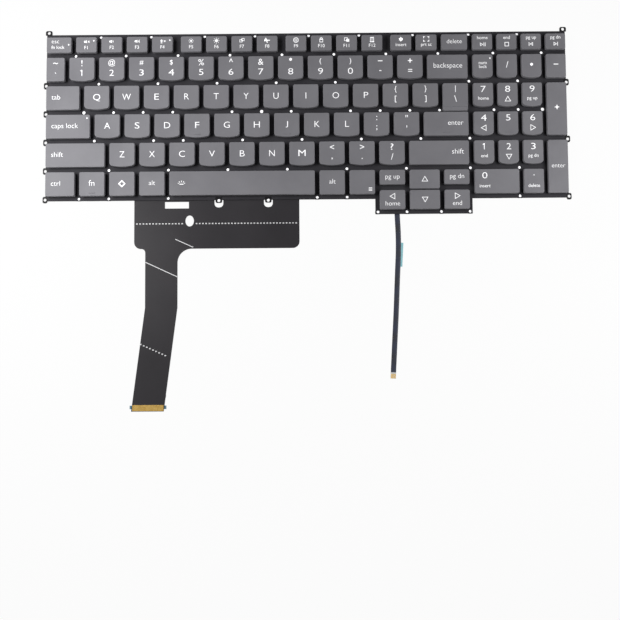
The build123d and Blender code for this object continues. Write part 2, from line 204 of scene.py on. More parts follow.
def ramp(nodes, links, value, low, high, dark, light):
    """Two colours over part of a value's range."""
    colours = nodes.new("ShaderNodeValToRGB")
    colours.color_ramp.elements[0].position = low
    colours.color_ramp.elements[1].position = high
    colours.color_ramp.elements[0].color = dark
    colours.color_ramp.elements[1].color = light
    links.new(value, colours.inputs["Fac"])
    return colours.outputs["Color"]


def finish(name, dark, light, drift, grain, roughness, bump, metallic=0.0, specular=0.5, glow=0.0):
    """A surface whose colour drifts between two tones and whose grain sets its roughness and bump. A glow, where
    given, is painted light: the surface emits its own colour.
    """
    material = bpy.data.materials.new(name)
    material.use_nodes = True
    nodes, links = material.node_tree.nodes, material.node_tree.links
    shader = nodes["Principled BSDF"]
    shader.inputs["Metallic"].default_value = metallic
    shader.inputs["Specular IOR Level"].default_value = specular
    colour = ramp(nodes, links, noise(nodes, links, drift, 4.0), 0.3, 0.7, ink_colour(*dark), ink_colour(*light))
    links.new(colour, shader.inputs["Base Color"])
    if glow:
        links.new(colour, shader.inputs["Emission Color"])
        shader.inputs["Emission Strength"].default_value = glow
    fine = noise(nodes, links, grain)
    rough = new_node(nodes, "MapRange", To_Min=roughness - ROUGH_SPREAD, To_Max=roughness + ROUGH_SPREAD)
    links.new(fine, rough.inputs["Value"])
    links.new(rough.outputs["Result"], shader.inputs["Roughness"])
    relief = new_node(nodes, "Bump", Strength=bump, Distance=GRAIN_DEPTH)
    links.new(fine, relief.inputs["Height"])
    links.new(relief.outputs["Normal"], shader.inputs["Normal"])
    return material


cap_grey = finish("cap_grey_plastic", (132, 131, 136), (140, 139, 144), 60, 5200, 0.46, 0.35, specular=0.25)
# Painted light: the legend ink glows with its own white, though nothing lights the keys from inside.
legend_ink_and_glow = finish("legend_white_ink", (244, 244, 246), (252, 252, 253), 300, 6000, 0.5, 0.1, glow=0.5)
web_black = finish("web_black_film", (61, 60, 64), (69, 68, 72), 45, 2600, 0.5, 0.25, specular=0.04)
plate_black = finish("plate_black_coat", (20, 19, 22), (28, 27, 30), 70, 3000, 0.45, 0.3, specular=0.15)
# Painted light: the light guide glows, so the white dots in the pin holes stay bright where the plate shades them.
guide_white_and_glow = finish("guide_white_acrylic", (246, 247, 250), (254, 254, 255), 80, 1500, 0.35, 0.05, glow=0.85)
back_brown = finish("back_brown_film", (84, 80, 78), (96, 92, 90), 18, 2200, 0.34, 0.15, specular=0.2)
band_black = finish("band_blue_black_film", (44, 43, 47), (54, 53, 58), 30, 1800, 0.3, 0.1, specular=0.15)
ring_steel = finish("ring_bare_steel", (176, 174, 170), (206, 204, 200), 400, 4000, 0.32, 0.2, metallic=0.9)
# Painted shade: a black for the discs that fill the holes of the back film, standing for the shade seen through them.
painted_shade_black = finish("boss_core_black", (8, 8, 9), (14, 14, 15), 400, 3000, 0.6, 0.1, specular=0.05)
liner_tan = finish("liner_tan_paper", (216, 188, 148), (232, 202, 162), 160, 2400, 0.6, 0.3)
stiffener_blue = finish("stiffener_blue_film", (88, 128, 148), (104, 142, 162), 120, 1800, 0.35, 0.1)
print_white = finish("print_white_ink", (232, 232, 234), (246, 246, 247), 500, 4000, 0.5, 0.1)
liner_blue = finish("liner_pale_blue_film", (150, 214, 224), (170, 228, 236), 120, 1800, 0.4, 0.1)
label_white = finish("label_white_paper", (236, 236, 234), (248, 248, 246), 120, 2600, 0.55, 0.2)
dome_grey = finish("dome_silicone", (196, 198, 200), (212, 214, 216), 300, 3000, 0.5, 0.1)
link_black = finish("link_black_nylon", (34, 34, 36), (44, 44, 46), 300, 4200, 0.45, 0.2)
contact_gold = finish("contact_gold_plate", (208, 168, 84), (230, 192, 108), 500, 3000, 0.28, 0.1, metallic=1.0)
cable_dark = finish("cable_dark_film", (18, 18, 20), (34, 44, 74), 90, 1500, 0.25, 0.1)
print("finishes:", len(bpy.data.materials))

# %% [markdown]
# The tail is one die-cut film with two faces: the side that lies against the plate is a matt dark grey, and the side
# seen from the back is a glossy black, though here both share one roughness and only the tone differs. Its sheet is
# thin, so the way a face points is enough to choose the tone.

# %% Two-sided tail finish
tail_film = finish("tail_two_sided_film", (48, 46, 49), (56, 54, 57), 30, 1600, 0.38, 0.1, specular=0.15)
nodes, links = tail_film.node_tree.nodes, tail_film.node_tree.links
facing = nodes.new("ShaderNodeNewGeometry")
upward = nodes.new("ShaderNodeSeparateXYZ")
links.new(facing.outputs["Normal"], upward.inputs[0])
side = new_node(nodes, "MapRange", From_Min=-0.1, From_Max=0.1)
links.new(upward.outputs["Z"], side.inputs["Value"])
sides = nodes.new("ShaderNodeMix")
sides.data_type = "RGBA"
links.new(side.outputs["Result"], sides.inputs["Factor"])
sides.inputs["A"].default_value = ink_colour(5, 4, 4)
shader = nodes["Principled BSDF"]
links.new(shader.inputs["Base Color"].links[0].from_socket, sides.inputs["B"])
links.new(sides.outputs["Result"], shader.inputs["Base Color"])
print("tail film has", len(nodes), "nodes")

# %% [markdown]
# A piece is drawn in millimetres, because bmesh operators work best on numbers near one, and scaled to metres when
# it becomes an object. Faces that meet gently are shaded smooth, and hard corners stay hard.

# %% Pieces
SMOOTH_ANGLE = radians(38)


def make_piece(name, bm, finishes, body="board"):
    """Turn a drawing in millimetres into an object in metres that rides on a body."""
    bmesh.ops.scale(bm, vec=(MM, MM, MM), verts=bm.verts)
    for face in bm.faces:
        face.smooth = len(face.verts) == 4
    mesh = bpy.data.meshes.new(name)
    bm.to_mesh(mesh)
    bm.free()
    for material in finishes:
        mesh.materials.append(material)
    mesh.set_sharp_from_angle(angle=SMOOTH_ANGLE)
    piece = bpy.data.objects.new(name, mesh)
    scene.collection.objects.link(piece)
    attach(piece, body)
    return piece


def set_finish(node, material):
    """Give a CAD node one finish."""
    frame["nodes"][node].data.materials.clear()
    frame["nodes"][node].data.materials.append(material)


def gather(target, source):
    """Add one drawing to another."""
    mesh = bpy.data.meshes.new("passing")
    source.to_mesh(mesh)
    source.free()
    target.from_mesh(mesh)
    bpy.data.meshes.remove(mesh)


def node_drawing(node):
    """A copy of a CAD node in millimetres, with its triangles joined."""
    bm = bmesh.new()
    bm.from_mesh(frame["nodes"][node].data)
    bmesh.ops.scale(bm, vec=(1 / MM, 1 / MM, 1 / MM), verts=bm.verts)
    bmesh.ops.remove_doubles(bm, verts=bm.verts, dist=0.0005)
    return bm


def solid_boxes(node):
    """Lowest and highest corner of each separate solid in a CAD node, in millimetres."""
    bm = node_drawing(node)
    waiting = set(bm.verts)
    boxes = []
    while waiting:
        front = [waiting.pop()]
        points = []
        while front:
            vert = front.pop()
            points.append(vert.co.copy())
            near = {edge.other_vert(vert) for edge in vert.link_edges} & waiting
            waiting -= near
            front.extend(near)
        boxes.append(tuple(Vector(pick(p[i] for p in points) for i in range(3)) for pick in (min, max)))
    bm.free()
    return boxes


# %% [markdown]
# The backlight cable is a narrow flat cable, seen from end to end in the photograph. It comes out of its slit in the
# back film and lies on the table in a slight double bend, about 13 cm long. A spline through the CAD route's own
# points gives the line, and a sideways extrusion gives the flat section.

# %% Backlight cable
CABLE_ROUTE = [(57.0, -38.0), (57.4, -60.0), (58.5, -82.0), (57.3, -104.0), (56.3, -126.0), (55.0, -147.0),
               (54.0, -164.5)]
CABLE_W = 3.4
CABLE_LEVEL = 0.075
CABLE_EDGE = 0.06

cable_curve = bpy.data.curves.new("backlight_cable_line", "CURVE")
cable_curve.dimensions = "3D"
cable_spline = cable_curve.splines.new("NURBS")
cable_spline.points.add(len(CABLE_ROUTE) - 1)
for point, (x, y) in zip(cable_spline.points, CABLE_ROUTE):
    point.co = (x * MM, y * MM, CABLE_LEVEL * MM, 1)
    point.tilt = pi / 2
cable_spline.order_u = 3
cable_spline.use_endpoint_u = True
cable_spline.resolution_u = 10
cable_curve.twist_mode = "Z_UP"
cable_curve.extrude = (CABLE_W / 2 - CABLE_EDGE) * MM
cable_curve.bevel_depth = CABLE_EDGE * MM
cable_curve.bevel_resolution = 1
cable_curve.use_fill_caps = True
cable_curve.materials.append(cable_dark)
cable = bpy.data.objects.new("flat_backlight_cable", cable_curve)
scene.collection.objects.link(cable)
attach(cable, "board")
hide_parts("backlight_cable")

# %% [markdown]
# The cable ends in a stiff tip with four contact strips. The tip is a thin bevelled slab, and the strips are drawn
# across it and raised by a hair. A pale blue liner shows beside the cable, half way along.

# %% Flat shapes
def bar(bm, x, y, width, height, turn=0.0, z=0.0):
    """A flat rectangle."""
    place = Matrix.Translation((x, y, z)) @ Matrix.Rotation(radians(turn), 4, "Z")
    place @= Matrix.Diagonal((width, height, 1, 1))
    bmesh.ops.create_grid(bm, x_segments=1, y_segments=1, size=0.5, matrix=place)


def disc(bm, x, y, radius, sides=16, turn=0.0, z=0.0):
    """A flat disc, or a polygon with few sides."""
    place = Matrix.Translation((x, y, z)) @ Matrix.Rotation(radians(turn), 4, "Z")
    made = bmesh.ops.create_circle(bm, cap_ends=True, segments=sides, radius=radius, matrix=place)
    return made["verts"][0].link_faces[0]


def open_frame(bm, face, width):
    """Leave only a border of a flat face."""
    bmesh.ops.inset_region(bm, faces=[face], thickness=width, use_boundary=True, use_even_offset=True)
    bmesh.ops.delete(bm, geom=[face], context="FACES_ONLY")


def ring(bm, x, y, radius, width, sides=16, turn=0.0, z=0.0):
    """A flat ring, or the outline of a polygon."""
    face = disc(bm, x, y, radius, sides, turn, z)
    open_frame(bm, face, width)


def lift(bm, faces, height):
    """Extrude faces straight up or down, and give back the first of the new ones."""
    made = bmesh.ops.extrude_face_region(bm, geom=faces)["geom"]
    bmesh.ops.translate(bm, vec=(0, 0, height), verts=[item for item in made if isinstance(item, bmesh.types.BMVert)])
    return next(item for item in made if isinstance(item, bmesh.types.BMFace))


def thicken(bm, height):
    """Raise every flat shape of a drawing into a closed solid."""
    lift(bm, bm.faces[:], height)
    bmesh.ops.recalc_face_normals(bm, faces=bm.faces)


def bevel(bm, geom, offset, segments, affect="EDGES", clamp=False):
    """Round edges, or the corners of a flat face."""
    bmesh.ops.bevel(bm, geom=geom, offset=offset, offset_type="OFFSET", segments=segments, profile=0.5, affect=affect,
                    clamp_overlap=clamp, material=-1)


def soften(bm, amount):
    """Bevel every edge between faces that meet at a clear angle."""
    edges = [edge for edge in bm.edges if len(edge.link_faces) == 2 and edge.calc_face_angle() > radians(40)]
    bevel(bm, edges, amount, 1, clamp=True)


TIP_L, TIP_T, TIP_EDGE, TIP_TURN = 3.96, 0.13, 0.03, 3.3
STRIPS, STRIP_PITCH, STRIP_SIZE, STRIP_T = 4, 0.8, (0.5, 2.9), 0.02
STRIP_DOWN, STRIP_SINK = 0.4, 0.002
LINER_PLACE, LINER_SIZE, LINER_Z, LINER_T = (60.1, -89.9), (1.7, 15.4), 0.03, 0.05
contact_low, contact_high = (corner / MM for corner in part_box("backlight_contact"))
tip_middle = (contact_low + contact_high) / 2
tip = bmesh.new()
bar(tip, tip_middle.x, tip_middle.y, CABLE_W, TIP_L, -TIP_TURN)
thicken(tip, TIP_T)
soften(tip, TIP_EDGE)
strips = bmesh.new()
for step in range(STRIPS):
    x = tip_middle.x + (step - (STRIPS - 1) / 2) * STRIP_PITCH
    bar(strips, x, tip_middle.y - STRIP_DOWN, *STRIP_SIZE, -TIP_TURN, z=TIP_T - STRIP_SINK)
thicken(strips, STRIP_T)
tab = bmesh.new()
bar(tab, *LINER_PLACE, *LINER_SIZE, -TIP_TURN, z=LINER_Z)
thicken(tab, LINER_T)
liner_tab = make_piece("cable_liner_tab", tab, [liner_blue])
tip_end = make_piece("backlight_tip", tip, [label_white])
tip_strips = make_piece("backlight_tip_contacts", strips, [contact_gold])
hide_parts("backlight_contact")
print("cable of", len(CABLE_ROUTE), "points")

# %% [markdown]
# The CAD model knows where every key is. Keys that travel are nodes of their own, and the rest are solids of four
# group nodes, which are told apart here by their boxes: from the function row down, and from left to right.

# %% Key places
digits = [f"digit_{n}" for n in "1234567890"]
function_names = ["esc"] + [f"function_{n}" for n in range(1, 15)] + ["delete"]
function_names += [f"over_pad_{n}" for n in range(1, 5)]
pad_names = ["pad_0", "pad_1", "pad_2", "pad_minus", "pad_3", "pad_4", "pad_5", "pad_plus", "pad_6", "pad_7", "pad_8",
             "pad_9", "pad_10", "pad_11", "pad_enter", "pad_zero", "pad_point"]
modifier_names = ["fn", "system", "left_alt", "right_alt", "menu", "page_up", "arrow_up", "page_down",
                  "arrow_left", "arrow_down", "arrow_right"]
GROUPS = {
    "function_row_keys": function_names,
    "number_row_keys": ["grave"] + digits + ["minus", "equals"],
    "number_pad_keys": pad_names,
    "modifier_keys": modifier_names,
}
moving = [body[4:] for body in frame["bodies"] if body.startswith("key_")]
keys = {name: tuple(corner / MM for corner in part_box(f"key_{name}")) for name in moving}
for node, names in GROUPS.items():
    boxes = sorted(solid_boxes(node), key=lambda box: (-round(box[1].y), box[0].x))
    keys.update(zip(names, boxes))
letters = list("qwertyuiopasdfghjklzxcvbnm")
SIGN_KEYS = ["minus", "equals", "left_bracket", "right_bracket", "backslash", "semicolon", "quote", "comma", "period",
             "slash"]
curved = set(letters + digits + SIGN_KEYS + [f"pad_{n}" for n in range(12)]) - {"backslash"}
print("keys placed:", len(keys))

# %% [markdown]
# A keycap starts as one flat face. Bevelling its corners gives the plan, the front edge of a letter key is divided
# and bowed, and an extrusion makes the walls, which lean in a little. The rim is bevelled, the top sinks slightly
# inside the rim, and an inset and an extrusion from below hollow the cap.

# %% Keycap shape
UPPER_R, LOWER_R, STRAIGHT_R = 1.0, 1.5, 1.0
BOW = 1.15
CAP_LEAN, CAP_RIM = 0.08, 0.25
CAP_DISH, DISH_BORDER = 0.05, 0.3
CAP_WALL, CAP_CEILING = 0.65, 0.9


def cap_plan(bm, low, high, is_curved):
    """The keycap's outline as one flat face at its lower level."""
    bow = BOW if is_curved else 0.0
    width, depth = high.x - low.x, high.y - low.y - bow
    middle = Vector(((low.x + high.x) / 2, low.y + bow + depth / 2, low.z))
    bar(bm, middle.x, middle.y, width, depth, z=middle.z)
    bevel(bm, [v for v in bm.verts if v.co.y > middle.y], UPPER_R, 3, "VERTICES")
    lower = sorted(bm.verts, key=lambda v: v.co.y)[:2]
    bevel(bm, lower, LOWER_R if is_curved else STRAIGHT_R, 3, "VERTICES")
    if is_curved:
        front = [e for e in bm.edges if all(v.co.y < low.y + bow + 0.001 for v in e.verts)]
        bmesh.ops.subdivide_edges(bm, edges=front, cuts=7)
        for vert in [v for v in bm.verts if v.co.y < middle.y]:
            vert.co.y -= bow * (1 - (2 * (vert.co.x - middle.x) / width) ** 2)


def cap_shape(low, high, is_curved):
    """One hollow keycap between two corners."""
    bm = bmesh.new()
    cap_plan(bm, low, high, is_curved)
    middle = (low + high) / 2
    top = lift(bm, bm.faces[:], high.z - low.z)
    lean = (1 - 2 * CAP_LEAN / (high.x - low.x), 1 - 2 * CAP_LEAN / (high.y - low.y), 1)
    bmesh.ops.scale(bm, vec=lean, space=Matrix.Translation(-middle), verts=top.verts)
    bevel(bm, list(top.edges), CAP_RIM, 2)
    top = max(bm.faces, key=lambda face: face.calc_center_median().z)
    bmesh.ops.inset_region(bm, faces=[top], thickness=DISH_BORDER, depth=-CAP_DISH, use_even_offset=True)
    under = min(bm.faces, key=lambda face: face.calc_center_median().z)
    bmesh.ops.inset_region(bm, faces=[under], thickness=CAP_WALL, use_even_offset=True)
    lift(bm, [under], high.z - low.z - CAP_CEILING)
    bmesh.ops.recalc_face_normals(bm, faces=bm.faces)
    return bm


# %% [markdown]
# Five keys carry a short raised bar near their front edge, which a finger can feel. It is the same plastic as the
# cap. The backslash key has a lower lip along its front, because it fills the corner above the enter key.

# %% Bars and lip
HOMING = ["f", "j", "pad_7", "fn", "enter"]
HOMING_W, HOMING_D, HOMING_H = 4.2, 0.55, 0.3
HOMING_R, HOMING_EDGE = 0.25, 0.1
HOMING_UP, HOMING_SINK = 2.0, 0.02
LIP_D, LIP_BACK, LIP_DROP = 2.4, 1.8, 0.35


def homing_bar(low, high):
    """A raised bar with rounded ends near the front of a cap."""
    bm = bmesh.new()
    bar(bm, (low.x + high.x) / 2, low.y + HOMING_UP, HOMING_W, HOMING_D, z=high.z - CAP_DISH - HOMING_SINK)
    bevel(bm, bm.verts[:], HOMING_R, 2, "VERTICES")
    thicken(bm, HOMING_H)
    soften(bm, HOMING_EDGE)
    return bm


def whole_cap(name):
    """A keycap with whatever its top carries."""
    low, high = keys[name]
    if name == "backslash":
        bm = cap_shape(Vector((low.x, low.y + LIP_D, low.z)), high, False)
        step = Vector((high.x, low.y + LIP_D + LIP_BACK, high.z - LIP_DROP))
        gather(bm, cap_shape(low, step, False))
    else:
        bm = cap_shape(low, high, name in curved)
    if name in HOMING:
        gather(bm, homing_bar(low, high))
    return bm


# %% [markdown]
# Each travelling key is a piece of its own that rides on its key. The other keys are gathered into one piece for each
# group, as in the CAD model.

# %% Keycaps
for name in moving:
    cap = make_piece(f"cap_{name}", whole_cap(name), [cap_grey], body=f"key_{name}")
    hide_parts(f"key_{name}")
for node, names in GROUPS.items():
    row = bmesh.new()
    for name in names:
        gather(row, whole_cap(name))
    caps = make_piece(f"caps_of_{node}", row, [cap_grey])
    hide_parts(node)
    print(caps.name, len(caps.data.polygons), "faces")

# %% [markdown]
# The legends are common words, letters and signs in Blender's own font, and small signs drawn from bars, discs and
# rings. They are made as thin solids that lie in the dish of each cap, so they stay sharp at any distance. Their
# white ink carries a painted glow, which makes it brighter than the lamps alone would.

# %% Lettering
INK_SINK = CAP_DISH + 0.01
INK_T = 0.03
LETTER_SIZE = 5.8
THINNING = -0.042
THINNED_FROM = 3.5
WIDTHS = {"EF056789": 1.32, "S3": 1.42, "J": 1.6, "M": 1.26, "4": 1.33, "BPH2": 1.17, "CDGLVQ": 1.09, "XWZ": 0.92,
          "?": 1.5}
WIDER = {letter: wide for group, wide in WIDTHS.items() for letter in group}
LETTER_UP = 0.35
PAIR_UP, PAIR_DOWN = 3.95, -2.4
CAPITAL_MIDDLE = 0.341
SMALL_MIDDLE = 0.225


def write(ink, words, x, y, size, align="CENTER", by="small"):
    """Add words to a drawing: centred on capitals, on small letters, or on the box of the sign itself."""
    text = bpy.data.curves.new("words", "FONT")
    text.body = words
    text.size = size
    text.align_x = align
    text.resolution_u = 3
    text.extrude = INK_T / 2
    plain = words.replace(" ", "").isalnum() and words not in ("M", "4")
    text.offset = THINNING if plain and size > THINNED_FROM else 0
    holder = bpy.data.objects.new("words", text)
    mesh = bpy.data.meshes.new_from_object(holder)
    mesh.transform(Matrix.Diagonal((WIDER.get(words, 1), 1, 1, 1)))
    if by == "box":
        span = [v.co for v in mesh.vertices]
        x -= (min(c.x for c in span) + max(c.x for c in span)) / 2
        y -= (min(c.y for c in span) + max(c.y for c in span)) / 2
    else:
        y -= size * (CAPITAL_MIDDLE if by == "capital" else SMALL_MIDDLE)
    mesh.transform(Matrix.Translation((x, y, INK_T / 2)))
    ink.from_mesh(mesh)
    bpy.data.meshes.remove(mesh)
    bpy.data.objects.remove(holder)
    bpy.data.curves.remove(text)


# %% [markdown]
# Each small sign is a short list of strokes round its middle: speakers, suns, a lock, a star and the arrows of the
# media keys. They are plain signs, the same on most keyboards.

# %% Signs
speaker = [("disc", -0.25, 0, 0.9, 3, 90), ("bar", -0.85, 0, 0.6, 0.8)]
cross = [("bar", 1.15, 0, 1.15, 0.24, 45), ("bar", 1.15, 0, 1.15, 0.24, -45)]


def sun(radius):
    """A small sun: a disc with eight rays."""
    rays = []
    for step in range(8):
        out = Matrix.Rotation(radians(45 * step), 2) @ Vector((radius + 0.5, 0))
        rays.append(("bar", out.x, out.y, 0.45, 0.24, 45 * step))
    return [("disc", 0, 0, radius, 12)] + rays


SIGNS = {
    "function_1": speaker + cross,
    "function_2": speaker + [("bar", 0.75, 0, 0.24, 0.9)],
    "function_3": speaker + [("bar", 0.7, 0, 0.24, 0.9), ("bar", 1.2, 0, 0.24, 1.6)],
    "function_4": cross + [("disc", -0.4, 0.3, 0.5, 10), ("bar", -0.4, -0.2, 0.7, 0.8),
                           ("bar", -0.4, -0.95, 1.0, 0.24)],
    "function_5": sun(0.5),
    "function_6": sun(0.75),
    "function_7": [("ring", -0.4, -0.2, 1.0, 0.26, 4, 45), ("ring", 0.6, 0.45, 1.0, 0.26, 4, 45)],
    "function_8": [("bar", 0, 0, 2.7, 0.5), ("bar", -0.3, 0, 0.55, 2.6, 20), ("bar", -1.1, 0, 0.35, 1.2)],
    "function_9": [("ring", 0, 0, 1.35, 0.3, 12), ("ring", 0, 0, 0.7, 0.28, 12)],
    "function_10": [("ring", 0, -0.35, 1.25, 0.3, 4, 45), ("ring", 0, 0.7, 0.65, 0.24, 10)],
    "function_11": [("ring", -0.35, 0.25, 1.2, 0.28, 4, 45), ("disc", 0.55, -0.35, 1.0, 4, 45)],
    "function_12": [("bar", 0, 0.95, 1.9, 0.55), ("bar", 0, -1.2, 1.9, 0.3)]
    + [("bar", x, -0.35, 0.3, 1.9) for x in (-0.8, 0, 0.8)],
    "function_13": [("disc", 0, 0.1, 1.2, 3), ("disc", 0, -0.1, 1.2, 3, 180)],
    "function_14": [("bar", x, y, 0.9, 0.28) for x in (-0.95, 0.95) for y in (-1.1, 1.1)]
    + [("bar", x, y, 0.28, 0.9) for x in (-1.3, 1.3) for y in (-0.8, 0.8)],
    "over_pad_1": [("ring", -0.6, 0, 1.05, 0.26, 3, -90)] + [("bar", x, 0, 0.28, 1.9) for x in (0.75, 1.4)],
    "over_pad_2": [("ring", 0, 0, 1.5, 0.3, 4, 45)],
    "over_pad_3": [("ring", 0.35, 0, 1.1, 0.28, 3, 90), ("bar", -1.0, 0, 0.3, 1.9)],
    "over_pad_4": [("ring", -0.35, 0, 1.1, 0.28, 3, -90), ("bar", 1.0, 0, 0.3, 1.9)],
    "up": [("ring", 0, -0.35, 2.4, 0.36, 3)],
    "down": [("ring", 0, 0.35, 2.4, 0.36, 3, 180)],
    "left": [("ring", 0.35, 0, 2.4, 0.36, 3, 90)],
    "right": [("ring", -0.35, 0, 2.4, 0.36, 3, -90)],
    "star": [("bar", 0, 0, 2.0, 0.6, turn) for turn in (30, 90, 150)],
    "minus": [("bar", 0, 0, 3.0, 0.55)],
    "plus": [("bar", 0, 0, 2.8, 0.6), ("bar", 0, 0, 0.6, 2.8)],
    "flag": [("bar", 0, 0, 1.1, 0.55, 35)],
    "system": [("ring", 0, 0, 2.4, 0.75, 4)],
    "menu": [("bar", 0, y, 2.2, 0.4) for y in (-0.8, 0, 0.8)],
    "backlight": [("bar", 0, -0.9, 2.6, 0.5), ("bar", 0, 0.85, 0.4, 1.1)]
    + [("bar", 1.3 * side, 0.55, 0.4, 1.0, -35 * side) for side in (-1, 1)]
    + [("bar", 2.0 * side, -0.3, 0.8, 0.35, 15 * side) for side in (-1, 1)],
    "lamp": [("disc", 0, 0, 0.5, 10)],
}


def draw_sign(marks, sign, x, y, scale=1.0):
    """Add a sign's strokes to a drawing of flat shapes."""
    fresh = bmesh.new()
    for stroke, *sizes in SIGNS[sign]:
        {"bar": bar, "disc": disc, "ring": ring}[stroke](fresh, *sizes)
    bmesh.ops.scale(fresh, vec=(scale, scale, 1), verts=fresh.verts)
    bmesh.ops.translate(fresh, vec=(x, y, 0), verts=fresh.verts)
    gather(marks, fresh)


# %% [markdown]
# The legend table says what each key carries. Letter keys have one capital, number keys a sign over a digit, the
# word keys a word at one side, and the number pad a digit over a word or an arrow.

# %% Legend table
PAIRS = dict(zip(["grave"] + digits + SIGN_KEYS,
                 "~` !1 @2 #3 $4 %5 ^6 &7 *8 (9 )0 _- += {[ }] |\\ :; \"' <, >. ?/".split()))
LEFT_WORDS = {"tab": "tab", "caps_lock": "caps lock", "left_shift": "shift", "left_ctrl": "ctrl"}
RIGHT_WORDS = {"backspace": "backspace", "enter": "enter", "right_shift": "shift"}
MIDDLE_WORDS = {"fn": ("fn", 5.5), "left_alt": ("alt", 4.3), "right_alt": ("alt", 4.3), "delete": ("delete", 4.0),
                "page_up": ("pg up", 4.3), "page_down": ("pg dn", 4.3), "pad_enter": ("enter", 4.0)}
PAD_WORDS = {"7": "home", "8": "up", "9": "pg up", "4": "left", "5": "", "6": "right", "1": "end", "2": "down",
             "3": "pg dn", "0": "insert", ".": "delete"}
PAD = dict(zip([f"pad_{n}" for n in range(3, 12)] + ["pad_zero", "pad_point"], PAD_WORDS.items()))
FUNCTION_WORDS = {f"function_{n}": f"F{n}" for n in range(1, 13)}
FUNCTION_WORDS.update(function_13="insert", function_14="prt sc")
OVER_PAD = {"over_pad_1": "home", "over_pad_2": "end", "over_pad_3": "pg up", "over_pad_4": "pg dn"}
ARROWS = {"arrow_up": ("up", ""), "arrow_down": ("down", ""), "arrow_left": ("left", "home"),
          "arrow_right": ("right", "end")}
LAMPS = {"esc": (-1.8, -5.0), "function_1": (-1.9, -2.5), "function_4": (-1.9, -2.5), "caps_lock": (-1.9, -2.4),
         "pad_0": (-1.7, -2.6)}
GLYPH = 5.8
GLYPH_SIZES = {**dict.fromkeys("$#", 4.3), **dict.fromkeys("(){}|", 4.6), **dict.fromkeys("@[]", 4.8), "J": 4.5}
GLYPH_LIFT = {"^": 1.15, "*": 1.4, '"': 1.0, "'": 0.7, ",": -1.1, ".": -1.1}
DRAWN = {"*": "star", "_": "minus", "+": "plus"}
FLAG_PLACE = (-0.45, 1.5)
LEFT_GAP, RIGHT_GAP, RIGHT_UP = 3.5, 3.3, 0.2
SMALL_WORD, WORD, SIGN_SCALE = 3.05, 4.6, 1.3
SIGN_UP, WORD_DOWN, OVER_UP = 2.0, 1.8, 2.3
PAD_UP, PAD_DOWN, PAD_EDGE_DOWN, PAD_SIGN_DOWN = 3.65, -2.6, -3.35, 0.3
ARROW_UP, ARROW_DOWN, ARROW_WORD = 2.1, 2.9, 4.2
ESC_GAP, ESC_WORD = 3.1, 3.9
NUM_UP, LOCK_DOWN, LONE_UP = 1.9, 0.6, 0.9
MENU_IN, MENU_UP = 3.0, 3.1
BACKLIGHT_IN, BACKLIGHT_UP = 7.8, 0.3


def glyph(ink, marks, sign, x, y):
    """One large sign or digit, centred on its own box."""
    if sign in DRAWN:
        draw_sign(marks, DRAWN[sign], x, y)
    else:
        write(ink, sign, x, y, GLYPH_SIZES.get(sign, GLYPH), by="box")
    if sign == "1":
        draw_sign(marks, "flag", x + FLAG_PLACE[0], y + FLAG_PLACE[1])


